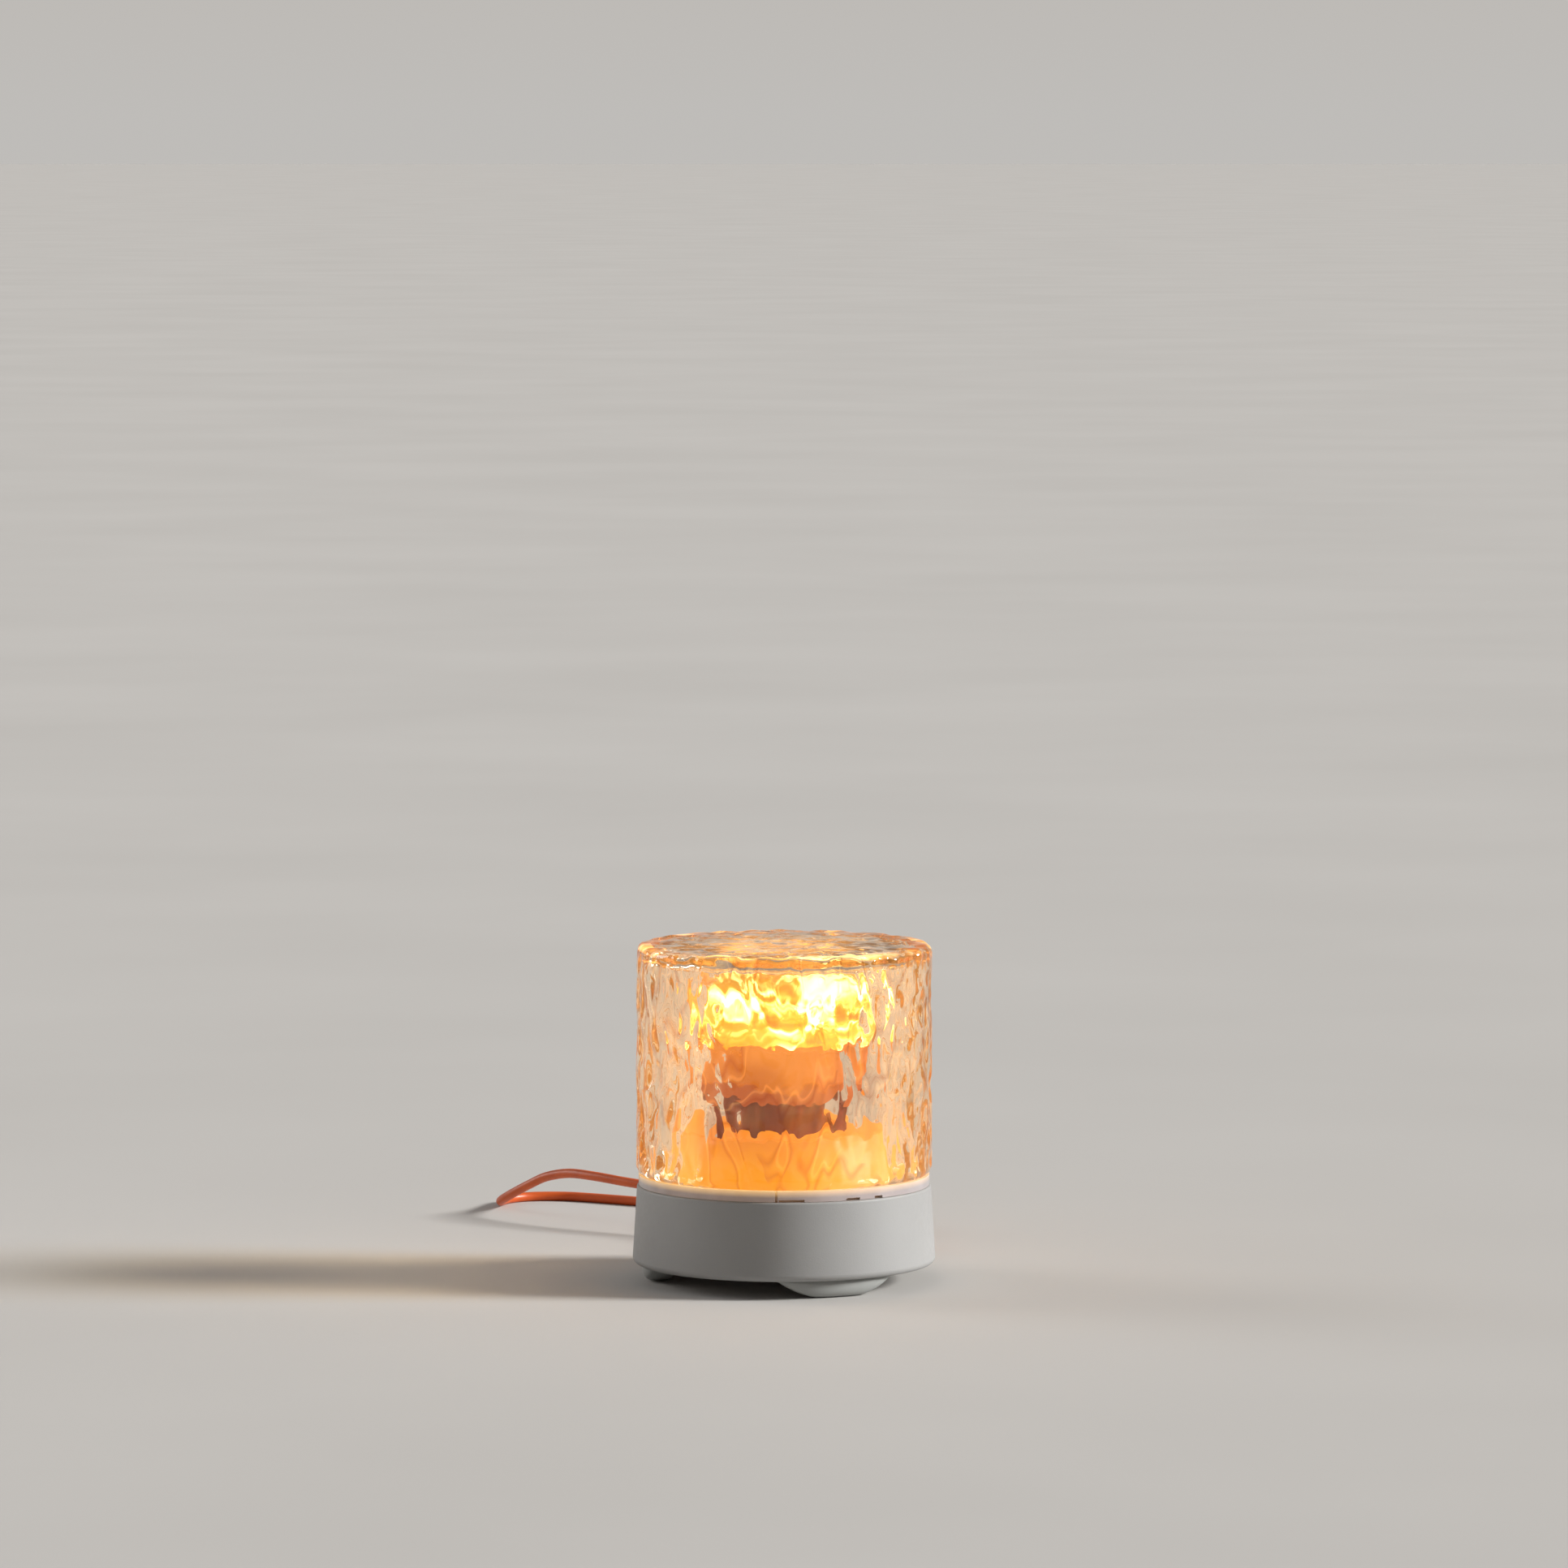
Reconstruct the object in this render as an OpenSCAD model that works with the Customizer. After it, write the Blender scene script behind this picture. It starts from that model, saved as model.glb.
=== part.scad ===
// Water-ripple table lamp: a thick ripple-glass jar turned upside down over an amber LED tower,
// on a tapered plastic base with three rocker feet. A small gear motor turns a rippled lens
// above the LED. Millimetres, +Z up, origin on the table under the lamp's centre, front is -Y.

/* [Base] */
// Height of the feet under the base
foot_h = 6; // [5:0.5:8]
// Height of the base's side wall
base_h = 26; // [26:1:30]
// Radius of the base at its lower edge
base_r_low = 50.1; // [49.5:0.1:52]
// Radius of the base at its upper rim
base_r_top = 48.7; // [48.5:0.1:49.4]
// Wall thickness of the base
wall = 2.5; // [2:0.1:2.6]

/* [Glass] */
// Outer radius of the glass jar
glass_r = 49; // [48.5:0.1:50]
// Height of the lamp from the table to the top of the glass
lamp_h = 112; // [111:1:116]
// Thickness of the jar's side wall
glass_wall = 6.5; // [5.5:0.1:7]
// Thickness of the jar's closed top
glass_top = 3.6; // [3.2:0.1:4.5]
// Radius of the collar and of the glass's smooth neck on it
neck_r = 48.1; // [47.6:0.1:48.2]

/* [Tower] */
// Radius of the reflector deck at its top
deck_r_top = 34; // [33:0.5:35]
// Height of the reflector deck's top above the table
deck_z = 51; // [50:0.5:52]
// Radius of the dark rotor sleeve
sleeve_r = 20; // [20:0.1:21]
// Radius of the white lens carrier
carrier_r = 25; // [24.5:0.5:27]
// Radius of the turning ripple lens
lens_r = 30.5; // [29:0.5:32]

/* [Gears] */
// Gear module
gear_m = 0.7; // [0.7]
// Teeth on the ring of the rotor
gear_teeth = 60; // [60]
// Teeth on the motor pinion
pinion_teeth = 20; // [20]
// Play between the teeth, measured along the pitch circle
backlash = 0.14; // [0.12:0.02:0.18]

/* [Cord] */
// Diameter of the round USB power cord
cord_d = 3.3; // [3.3]
// Mean radius of the stored coil
coil_r = 19.8; // [19.8]
// Layers of turns in the stored coil
coil_rows = 4; // [4]

/* [Hidden] */
$fn = 96;

gap = 0.3; // clearance between loose neighbours
run_fit = 0.05; // radial clearance of a running fit

// Base heights
rim_z = foot_h + base_h; // top of the base's rim
seat_z = rim_z - 2; // floor of the seat under the glass
plate_z = seat_z - 2.5; // underside of the top plate
cover_z0 = foot_h + 0.4; // underside of the bottom cover
cover_z1 = cover_z0 + 2.5; // inside face of the bottom cover
cover_r = base_r_low - wall - gap;
base_edge_r = 2; // rounding of the lower edge
rim_edge_r = 0.8; // rounding of the upper edge
rim_r = base_r_top - 1.4; // inside radius of the rim round the seat

// Screws
screw_r = 1.2; // shank of the small self-tapping screws
head_r = 2.2;
cover_screw_r = 40;
cover_screw_angles = [-6, 114, 234];
deck_screw_r = 33.5;
deck_screw_angles = [0, 120, 240];

// Feet: tangential rockers, flat underneath
foot_angles = [-66, 54, 174];
foot_r_in = 36;
foot_r_out = 47;
foot_flat = 16; // length of the flat that stands on the table
foot_chord = 40; // length where the foot meets the base
rocker_h = (pow(foot_chord / 2, 2) + foot_h * foot_h - pow(foot_flat / 2, 2)) / (2 * foot_h);
rocker_r = sqrt(pow(foot_flat / 2, 2) + rocker_h * rocker_h);

// Glass
collar_z = rim_z + 3.6; // the glass stands on the collar here
glass_r_in = glass_r - glass_wall;
ceiling_z = lamp_h - glass_top;
glass_z = collar_z + 0.2; // mouth of the jar
body_z = glass_z + 1.7; // lower end of the rippled body
split_angle = -3; // of the collar's split, from the front
slot_spans = [[-2, 8], [25, 31], [38, 42]]; // where the collar's slots start and end, in degrees
slot_depth = 2;
skirt_h = 3.5; // skirt of the lens carrier round the sleeve

// Tower
post_r = 10;
bearing_z = seat_z + 2;
bearing_w = 7;
bearing_r = 16;
gear_z = seat_z + 1.2;
gear_w = 6;
sleeve_z0 = gear_z + gear_w;
sleeve_z1 = deck_z + 15;
carrier_z1 = sleeve_z1 + 15;
heatsink_z = sleeve_z1 + 4;
board_z = heatsink_z + 3;
emitter_z = board_z + 1.6;
lens_h = 25; // height of the wave lens above its carrier
lens_top_z = carrier_z1 + lens_h;

// Motor under the front of the top plate
gear_pitch_r = gear_m * gear_teeth / 2;
pinion_pitch_r = gear_m * pinion_teeth / 2;
motor_y = -(gear_pitch_r + pinion_pitch_r);
motor_r = 11.5;
shaft_r = 2;

// Electronics
board_x = [-10, 26];
board_y = [6, 34];
pcb_z = cover_z1 + 3.1;
pcb_t = 1.6;
button_z = pcb_z + pcb_t + 3;
plug_top_z = pcb_z + pcb_t + 4.5; // top of the two wire connectors
lead_d = 1.2;
button_angle = 60;
button_r = 3.9;
plunger_r = 1.7;
button_face_r = 49.2; // distance of the button's face from the lamp's axis

// Cord: the exit, the free run, the coil and the tail to the plug
exit_z = 16;
relief_y = 44.2; // inner end of the strain relief
exit_y = 63; // its outer end, where the cord comes out
floor_z = cord_d / 2;
coil_z = 0.6; // the tie passes under the coil
cord_route = [[0, exit_y, exit_z], [0, 68, 16], [-1, 74, 16], [-4, 82, 16], [-10, 91, 15.6],
    [-19, 99, 15.2], [-30, 106, 15.2], [-42, 114, 15.6], [-54, 123, 16.2], [-66, 134, 16.9],
    [-75, 144, 16.6], [-83, 152, 14.4], [-89, 158, 11], [-95, 165, 7], [-99, 172, 3.8],
    [-100, 180, 2], [-98, 188, floor_z], [-92, 194, floor_z], [-84, 196, floor_z],
    [-75, 195, floor_z], [-65, 190, floor_z], [-53, 183, floor_z], [-42, 176, floor_z],
    [-31, 167, floor_z], [-20, 157, floor_z], [-11, 149, floor_z], [-3, 145, 1.9],
    [6, 143.4, coil_z + floor_z]];
coil_centre = [6, 122];
coil_in = coil_r - cord_d;
coil_out = coil_r + cord_d;
coil_h = coil_rows * cord_d;
tie_t = 0.5; // thickness of the tie
tie_w = 5;
tail_route = [[27.4, 122, 12.1], [27.6, 116, 11.8], [28.4, 109, 10.4], [30, 102, 7.8],
    [32, 96, 5.4], [33.6, 92, 4.4], [34, 89, 4], [34, 86, 4]];
plug_at = [34, 86, 4]; // where the cord enters the plug
plug_l = 22;
plug_w = 14;
plug_h = 7.6;
shell_l = 18.5;

shell_white = [0.83, 0.83, 0.82];
steel = [0.72, 0.73, 0.75];

// ---- shared shapes ----

// Puts its children at each angle round the lamp's axis, at a radius.
module around(angles, r) {
    for (a = angles) rotate([0, 0, a]) translate([r, 0, 0]) children();
}

// Points of a quarter round from angle a0 to a1 about a centre.
function arc(cx, cz, r, a0, a1, steps = 6) =
    [for (i = [0:steps]) let (a = a0 + (a1 - a0) * i / steps) [cx + r * cos(a), cz + r * sin(a)]];

// A ring or disc between two radii and two heights.
module ring(r_in, r_out, z0, z1) {
    translate([0, 0, z0]) difference() {
        cylinder(h = z1 - z0, r = r_out);
        if (r_in > 0) translate([0, 0, -1]) cylinder(h = z1 - z0 + 2, r = r_in);
    }
}

// A self-tapping screw pointing up, its head's underside at z = 0.
module screw(length, head = head_r) {
    cylinder(h = length, r = screw_r);
    translate([0, 0, -1.6]) difference() {
        cylinder(h = 1.6, r = head);
        for (a = [0, 90]) rotate([0, 0, a]) translate([-head * 0.6, -0.3, -0.1]) cube([head * 1.2, 0.6, 0.8]);
    }
}

// A round tube swept along a list of points, with a ring of corners at each point. Each ring's
// first axis is level and square to the route, or as near to along as it can be.
module tube(route, d, sides = 8, along = [0, 0, 0]) {
    n = len(route);
    rings = [for (i = [0:n - 1])
        let (
            t = route[min(i + 1, n - 1)] - route[max(i - 1, 0)],
            w = t / norm(t),
            side = norm(along) > 0 ? along - (along * w) * w : cross([0, 0, 1], w),
            u = side / norm(side),
            v = cross(w, u)
        )
        for (k = [0:sides - 1])
            let (a = 360 * (k + 0.5) / sides)
            route[i] + d / 2 * (cos(a) * u + sin(a) * v)];
    walls = [for (i = [0:n - 2], k = [0:sides - 1])
        let (a = i * sides + k, b = i * sides + (k + 1) % sides)
        [a, a + sides, b + sides, b]];
    start = [[for (k = [0:sides - 1]) k]];
    end = [[for (k = [sides - 1:-1:0]) (n - 1) * sides + k]];
    polyhedron(points = rings, faces = concat(start, walls, end), convexity = 6);
}

// Involute gear outline: the polar angle of a flank at radius r, measured from the tooth's centre.
function inv(phi) = tan(phi) * 180 / PI - phi;
function flank(r, rb, rp, half) = half + inv(acos(rb / rp)) - inv(acos(rb / max(r, rb + 0.001)));
module gear_outline(m, teeth) {
    rp = m * teeth / 2;
    rb = rp * cos(20);
    r_tip = rp + 0.9 * m;
    r_root = rp - 1.2 * m;
    half = (PI * m / 2 - backlash / 2) / rp * 90 / PI;
    radii = [r_root, max(rb, r_root) + 0.02, (max(rb, r_root) + rp) / 2, rp, (rp + r_tip) / 2, r_tip];
    last = len(radii) - 1;
    polygon([for (i = [0:teeth - 1], k = [0:2 * last + 1])
        let (
            rising = k <= last,
            r = radii[rising ? k : 2 * last + 1 - k],
            a = 360 * i / teeth + (rising ? -1 : 1) * flank(r, rb, rp, half)
        )
        [r * cos(a), r * sin(a)]]);
}

// ---- base ----

// Tapered housing: side wall, top plate and the rim round the glass's seat, with all its holes.
module base_housing() {
    color(shell_white) difference() {
        union() {
            rotate_extrude() polygon(concat(
                [[base_r_low - wall, foot_h]],
                arc(base_r_low - base_edge_r, foot_h + base_edge_r, base_edge_r, -90, 0),
                arc(base_r_top - rim_edge_r, rim_z - rim_edge_r, rim_edge_r, 0, 90),
                [[rim_r, rim_z], [rim_r, seat_z], [12, seat_z], [12, plate_z],
                    [base_r_top - wall, plate_z]]));
            ring(post_r, 13, plate_z, seat_z);
            around(cover_screw_angles, cover_screw_r) translate([0, 0, cover_z1]) cylinder(h = plate_z - cover_z1 + 1, r = 3.5);
        }
        around(cover_screw_angles, cover_screw_r) translate([0, 0, cover_z1 - 1]) cylinder(h = 12, r = screw_r);
        around(deck_screw_angles, deck_screw_r) translate([0, 0, plate_z - 1]) cylinder(h = 5, r = screw_r + 0.1);
        // motor boss and its two face screws
        translate([0, motor_y, plate_z - 1]) {
            cylinder(h = 6, r = 4.6);
            for (s = [-1, 1]) translate([s * 8, 0, 0]) cylinder(h = 6, r = screw_r + 0.1);
        }
        // strain relief, at the back
        translate([0, base_r_low - 8, exit_z]) rotate([-90, 0, 0]) cylinder(h = 12, r = 4.4);
        // push button, at the back right
        rotate([0, 0, button_angle]) translate([base_r_low - 8, 0, button_z]) rotate([0, 90, 0]) cylinder(h = 12, r = button_r + gap);
    }
}

// Screwed-on bottom cover with the peg holes of the feet and the pillars of the circuit board.
module bottom_cover() {
    color([0.7, 0.7, 0.69]) difference() {
        union() {
            ring(0, cover_r, cover_z0, cover_z1);
            for (p = board_holes()) translate([p[0], p[1], cover_z1]) cylinder(h = pcb_z - cover_z1, r = 2.4);
        }
        around(cover_screw_angles, cover_screw_r) translate([0, 0, cover_z0 - 1]) {
            cylinder(h = 5, r = screw_r + 0.1);
            cylinder(h = 1 + 1.2, r = head_r + 0.3);
        }
        for (a = foot_angles) rotate([0, 0, a]) for (s = [-1, 1])
            translate([(foot_r_in + foot_r_out) / 2, s * foot_flat / 2, cover_z0 - 1]) cylinder(h = 5, r = 2);
        for (p = board_holes()) translate([p[0], p[1], cover_z0 + 1]) cylinder(h = 6, r = screw_r);
        for (x = [-9:6:9]) translate([x - 1, -18, cover_z0 - 1]) cube([2, 12, 5]);
    }
}

function board_holes() = [[board_x[0] + 4, board_y[0] + 4], [board_x[1] - 4, board_y[0] + 4]];

module cover_screws() {
    color(steel) around(cover_screw_angles, cover_screw_r) translate([0, 0, cover_z0 + 1.2]) screw(9);
}

// One soft rocker foot with two pegs that push into the cover.
module foot(i) {
    mid_r = (foot_r_in + foot_r_out) / 2;
    color([0.74, 0.75, 0.74]) union() {
        intersection() {
            rotate_extrude() polygon([[foot_r_in + 2, 0], [foot_r_out - 3, 0],
                [foot_r_out, foot_h - 1.5], [foot_r_out, cover_z0], [foot_r_in, cover_z0]]);
            rotate([0, 0, foot_angles[i]]) intersection() {
                translate([mid_r, 0, rocker_h]) rotate([0, 90, 0]) cylinder(h = 16, r = rocker_r, center = true);
                translate([mid_r - 8, -foot_chord / 2 - 1, 0]) cube([16, foot_chord + 2, cover_z0]);
            }
        }
        rotate([0, 0, foot_angles[i]]) for (s = [-1, 1])
            translate([mid_r, s * foot_flat / 2, cover_z0 - 1]) cylinder(h = cover_z1 - cover_z0 + 1, r = 2);
    }
}

// Translucent collar that the glass stands on, with a lip inside the glass, a narrow split at the
// front and shallow slots along the rim.
module seat_collar() {
    color([0.9, 0.89, 0.9, 0.8]) difference() {
        union() {
            ring(glass_r_in - 1.5, rim_r - 0.2, seat_z, collar_z);
            ring(glass_r_in - 1.5, glass_r_in - 0.4, seat_z, collar_z + 1.6);
            ring(glass_r_in - 1.5, neck_r, rim_z + 0.1, collar_z);
        }
        rotate([0, 0, split_angle - 90]) translate([neck_r - slot_depth, -0.4, rim_z]) cube([6, 0.8, 12]);
        for (span = slot_spans) translate([0, 0, rim_z]) linear_extrude(height = 0.9)
            polygon([for (corner = [[0, 0], [5, 0], [5, 1], [0, 1]])
                let (r = neck_r - slot_depth + corner[0], a = span[corner[1]] - 90) [r * cos(a), r * sin(a)]]);
    }
}

// ---- tower, fixed parts ----

// White reflector cone with three screw bosses inside.
module reflector_deck() {
    deck_r_low = glass_r_in - 2.1;
    t = 1.8;
    color([0.95, 0.93, 0.9]) difference() {
        union() {
            rotate_extrude() polygon([[deck_r_low - 3.4, seat_z], [deck_r_low, seat_z],
                [deck_r_low, seat_z + 3], [deck_r_top + 0.4, deck_z - 0.6], [deck_r_top - 0.4, deck_z],
                [sleeve_r + 0.6, deck_z], [sleeve_r + 0.6, deck_z - t], [deck_r_top - t, deck_z - t],
                [deck_r_low - t, seat_z + 3]]);
            around(deck_screw_angles, deck_screw_r) translate([0, 0, seat_z]) cylinder(h = 9, r = 2.8);
        }
        around(deck_screw_angles, deck_screw_r) translate([0, 0, seat_z - 1]) cylinder(h = 9, r = screw_r);
    }
}

module deck_screws() {
    color(steel) around(deck_screw_angles, deck_screw_r) translate([0, 0, plate_z]) screw(9.5);
}

// Hollow aluminium post: shoulder on the top plate, thread below it, bearing seat above it.
module led_post() {
    color(steel) difference() {
        union() {
            ring(0, post_r, plate_z - 5.5, heatsink_z);
            ring(0, 12, seat_z, bearing_z);
        }
        translate([0, 0, 0]) cylinder(h = lamp_h, r = 5);
    }
}

module post_nut() {
    color(steel) difference() {
        translate([0, 0, plate_z - 4]) cylinder(h = 4, r = 12.8, $fn = 6);
        cylinder(h = lamp_h, r = post_r);
    }
}

module led_heatsink() {
    color(steel) difference() {
        ring(3, 14, heatsink_z, board_z);
        for (a = [0:30:330]) rotate([0, 0, a]) translate([12.2, -0.6, heatsink_z - 1]) cube([3, 1.2, 6]);
    }
}

module led_board() {
    color("white") ring(0, 12, board_z, emitter_z);
}

module led_emitter() {
    color([1, 0.62, 0.1]) {
        ring(0, 4.4, emitter_z, emitter_z + 0.8);
        translate([0, 0, emitter_z + 0.8]) intersection() {
            sphere(r = 3);
            cylinder(h = 4, r = 4);
        }
    }
}

module lens_holder() {
    color([0.12, 0.12, 0.12]) ring(10.2, 11.8, emitter_z, emitter_z + 8);
}

// Collimating lens over the emitter.
module condenser_lens() {
    z = emitter_z + 0.9;
    color([1, 0.9, 0.7, 0.5]) rotate_extrude() polygon(concat(
        [[3.4, z], [5, z], [9.6, z + 5.5], [10.2, z + 5.5], [10.2, z + 6.5]],
        arc(0, z - 9.7, 19, 58, 90, 6),
        [[0, z + 4.5], [3.4, z + 3.4]]));
}

module race(r_in, r_out, groove_r) {
    ball_r = 2;
    difference() {
        ring(r_in, r_out, bearing_z, bearing_z + bearing_w);
        translate([0, 0, bearing_z + bearing_w / 2]) rotate_extrude() translate([groove_r, 0]) circle(r = ball_r + run_fit, $fn = 48);
    }
}

module bearing_inner_race() {
    color(steel) race(post_r, 12.2, 13);
}

module bearing_balls() {
    color(steel) for (a = [0:30:330]) rotate([0, 0, a]) translate([13, 0, bearing_z + bearing_w / 2]) sphere(r = 2);
}

// ---- drive ----

module gear_motor() {
    color([0.6, 0.61, 0.63]) difference() {
        translate([0, motor_y, 0]) union() {
            ring(0, motor_r, cover_z1 + 1.1, plate_z);
            ring(0, 4.4, plate_z, plate_z + 2);
        }
        translate([0, motor_y, cover_z1 + 8]) cylinder(h = 30, r = shaft_r + run_fit);
        for (s = [-1, 1]) translate([s * 8, motor_y, plate_z - 4]) cylinder(h = 5, r = screw_r);
    }
}

module motor_screws() {
    color(steel) for (s = [-1, 1]) translate([s * 8, motor_y, seat_z]) rotate([180, 0, 0]) screw_low(6);
}

// A low-headed screw, for the small space under the gears.
module screw_low(length) {
    cylinder(h = length, r = screw_r);
    translate([0, 0, -0.7]) cylinder(h = 0.7, r = head_r);
}

module motor_shaft() {
    color(steel) translate([0, motor_y, 0]) ring(0, shaft_r, cover_z1 + 8.5, gear_z + gear_w + 0.8);
}

module pinion_gear() {
    color([0.93, 0.9, 0.82]) translate([0, motor_y, gear_z - 0.2]) rotate([0, 0, 180 / pinion_teeth]) difference() {
        linear_extrude(height = gear_w + 0.6) gear_outline(gear_m, pinion_teeth);
        translate([0, 0, -1]) cylinder(h = gear_w + 3, r = shaft_r);
    }
}

// ---- rotor ----

module drive_gear() {
    color([0.93, 0.9, 0.82]) difference() {
        translate([0, 0, gear_z]) linear_extrude(height = gear_w) gear_outline(gear_m, gear_teeth);
        translate([0, 0, bearing_z]) cylinder(h = 20, r = bearing_r);
        translate([0, 0, gear_z - 1]) cylinder(h = 20, r = bearing_r - 1.4);
    }
}

module bearing_outer_race() {
    color(steel) race(13.8, bearing_r, 13);
}

// Dark glossy sleeve that stands up through the deck.
module rotor_sleeve() {
    color([0.14, 0.08, 0.07]) difference() {
        rotate_extrude() polygon([[15, sleeve_z0], [sleeve_r, sleeve_z0], [sleeve_r, sleeve_z1 - 0.5],
            [sleeve_r - 0.5, sleeve_z1], [15, sleeve_z1]]);
        translate([0, 0, 0]) cylinder(h = bearing_z + bearing_w, r = bearing_r);
        around([0, 120, 240], 17.5) translate([0, 0, sleeve_z1 - 8]) cylinder(h = 10, r = 0.9);
    }
}

// White cup that carries the ripple lens, with a skirt round the top of the sleeve.
module lens_carrier() {
    color([0.95, 0.93, 0.9]) difference() {
        rotate_extrude() polygon([[15, sleeve_z1], [sleeve_r + 0.3, sleeve_z1],
            [sleeve_r + 0.3, sleeve_z1 - skirt_h], [carrier_r - 1.2, sleeve_z1 - skirt_h],
            [carrier_r - 0.7, sleeve_z1], [carrier_r, sleeve_z1 + 1],
            [carrier_r, carrier_z1 - 1.8], [lens_r - 0.6, carrier_z1 - 1.2], [lens_r - 0.6, carrier_z1],
            [carrier_r - 2, carrier_z1], [carrier_r - 2, sleeve_z1 + 2], [15, sleeve_z1 + 2]]);
        around([0, 120, 240], 17.5) translate([0, 0, sleeve_z1 - 1]) cylinder(h = 4, r = 1);
    }
}

module carrier_screws() {
    color(steel) around([0, 120, 240], 17.5) translate([0, 0, sleeve_z1 + 2]) {
        translate([0, 0, -8]) cylinder(h = 8, r = 0.9);
        cylinder(h = 1.2, r = 1.8);
    }
}

// Clear lens with a domed top: it turns slowly over the LED.
module wave_lens() {
    dome_r = (pow(lens_r - 3, 2) + 16) / 8; // a 4 mm high cap
    spread = asin((lens_r - 3) / dome_r);
    color([1, 0.85, 0.4, 0.6]) rotate_extrude() polygon(concat(
        [[18, carrier_z1 - 2], [carrier_r - 2.2, carrier_z1 - 2], [carrier_r - 2.2, carrier_z1],
            [lens_r, carrier_z1], [lens_r, lens_top_z - 5]],
        arc(0, lens_top_z - dome_r, dome_r, 90 - spread, 90, 8),
        [[0, carrier_z1 + 6], [10, carrier_z1 + 6]]));
}

// ---- electronics ----

module control_board() {
    color([0.1, 0.35, 0.2]) difference() {
        translate([board_x[0], board_y[0], pcb_z]) cube([board_x[1] - board_x[0], board_y[1] - board_y[0], pcb_t]);
        for (p = board_holes()) translate([p[0], p[1], pcb_z - 1]) cylinder(h = 4, r = screw_r + 0.1);
    }
}

module board_screws() {
    color(steel) for (p = board_holes()) translate([p[0], p[1], pcb_z + pcb_t]) rotate([180, 0, 0]) screw_low(4.5);
}

// Cord connector, motor connector, LED connector, controller chip, capacitor and coil.
module board_parts() {
    z = pcb_z + pcb_t;
    color([0.15, 0.15, 0.16]) {
        translate([-5, 27, z]) cube([9, 6, 5]);
        translate([8, 8, z]) cube([7, 5, 4.5]);
        translate([-1, 14, z]) cube([7, 5, 4.5]);
        translate([11, 20, z]) cube([5, 5, 0.9]);
        translate([22, 22, z]) cylinder(h = 8, r = 2.5);
        translate([20, 15, z]) cylinder(h = 3, r = 2.6);
    }
}

// Push switch that the button works, standing on the board's edge.
module tact_switch() {
    color([0.2, 0.2, 0.2]) rotate([0, 0, button_angle]) difference() {
        translate([33, -3, pcb_z + pcb_t]) cube([5.4, 6, 6]);
        translate([35, 0, button_z]) rotate([0, 90, 0]) cylinder(h = 10, r = plunger_r + 0.1);
    }
}

module switch_plunger() {
    color([0.85, 0.3, 0.2]) rotate([0, 0, button_angle]) translate([36.6, 0, button_z]) rotate([0, 90, 0]) cylinder(h = 4.3, r = plunger_r);
}

module power_button() {
    color(shell_white) rotate([0, 0, button_angle]) translate([0, 0, button_z]) rotate([0, 90, 0]) {
        translate([0, 0, 40.9]) cylinder(h = 4.6, r = 2.4);
        translate([0, 0, 44.9]) cylinder(h = 1.2, r = 5.2);
        translate([0, 0, 46]) cylinder(h = button_face_r - 0.5 - 46, r = button_r);
        translate([0, 0, button_face_r - 0.5]) cylinder(h = 0.5, r1 = button_r, r2 = button_r - 0.5);
    }
}

// Pairs of thin wires between the board, the LED, the motor and the cord.
module led_leads() {
    top = plug_top_z + 0.05;
    color([0.75, 0.1, 0.1]) for (s = [-1, 1])
        tube([[2.5 + s, 16.5, top], [2.5 + s, 16.5, top + 1], [2.5 + s, 15.6, top + 1.9],
            [2.5 + s, 13, top + 2.1], [2 + s, 9, 20], [1 + s, 4, 19.8], [s, 1.2, 20.8],
            [s, 0, 23.5], [s, 0, 40], [s, 0, board_z]], lead_d, along = [1, 0, 0]);
}

module motor_leads() {
    top = plug_top_z + 0.05;
    color([0.1, 0.1, 0.1]) for (s = [-1, 1])
        tube([[2 + s, motor_y + motor_r + 0.2, 13], [2 + s, -13, 13], [4 + s, -6, 13.4],
            [8 + s, 1, 15.4], [11 + s, 6, 18.4], [11.5 + s, 8.6, 20.2], [11.5 + s, 10, 20.2],
            [11.5 + s, 10.5, top + 1], [11.5 + s, 10.5, top]], lead_d, along = [1, 0, 0]);
}

module power_leads() {
    color([0.1, 0.1, 0.1]) for (s = [-1, 1])
        tube([[s, 33.05, exit_z], [s, 36, exit_z], [1.4 * s, 39, exit_z - 0.6], [s, 42, exit_z],
            [s, relief_y, exit_z]], lead_d, along = [1, 0, 0]);
}

// ---- cord ----

// Strain relief: a flange inside the wall, a neck through it and a ribbed taper outside.
module strain_relief() {
    color([0.78, 0.26, 0.07]) translate([0, relief_y, exit_z]) rotate([-90, 0, 0]) difference() {
        union() {
            cylinder(h = 2, r = 6);
            cylinder(h = 6.2, r = 4.3);
            translate([0, 0, 6.1]) cylinder(h = exit_y - relief_y - 6.1, r1 = 4.3, r2 = 2.3);
        }
        for (i = [0:3]) translate([0, 0, 8 + 2.4 * i]) ring(2.3, 6, 0, 1);
    }
}

module cord_run() {
    color([0.78, 0.26, 0.07]) tube(cord_route, cord_d, 8);
}

module cord_coil() {
    color([0.78, 0.26, 0.07]) translate(coil_centre) ring(coil_in, coil_out, coil_z, coil_z + coil_h);
}

// Flat strap round the coil's turns, on its right side.
module cord_tie() {
    color([0.15, 0.15, 0.15]) translate(coil_centre) intersection() {
        difference() {
            ring(coil_in - tie_t, coil_out + tie_t, coil_z - tie_t, coil_z + coil_h + tie_t);
            ring(coil_in, coil_out, coil_z, coil_z + coil_h);
        }
        rotate([0, 0, 20]) translate([0, -tie_w / 2, 0]) cube([coil_out + 5, tie_w, 30]);
    }
}

module cord_tail() {
    color([0.78, 0.26, 0.07]) tube(tail_route, cord_d, 8);
}

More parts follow.
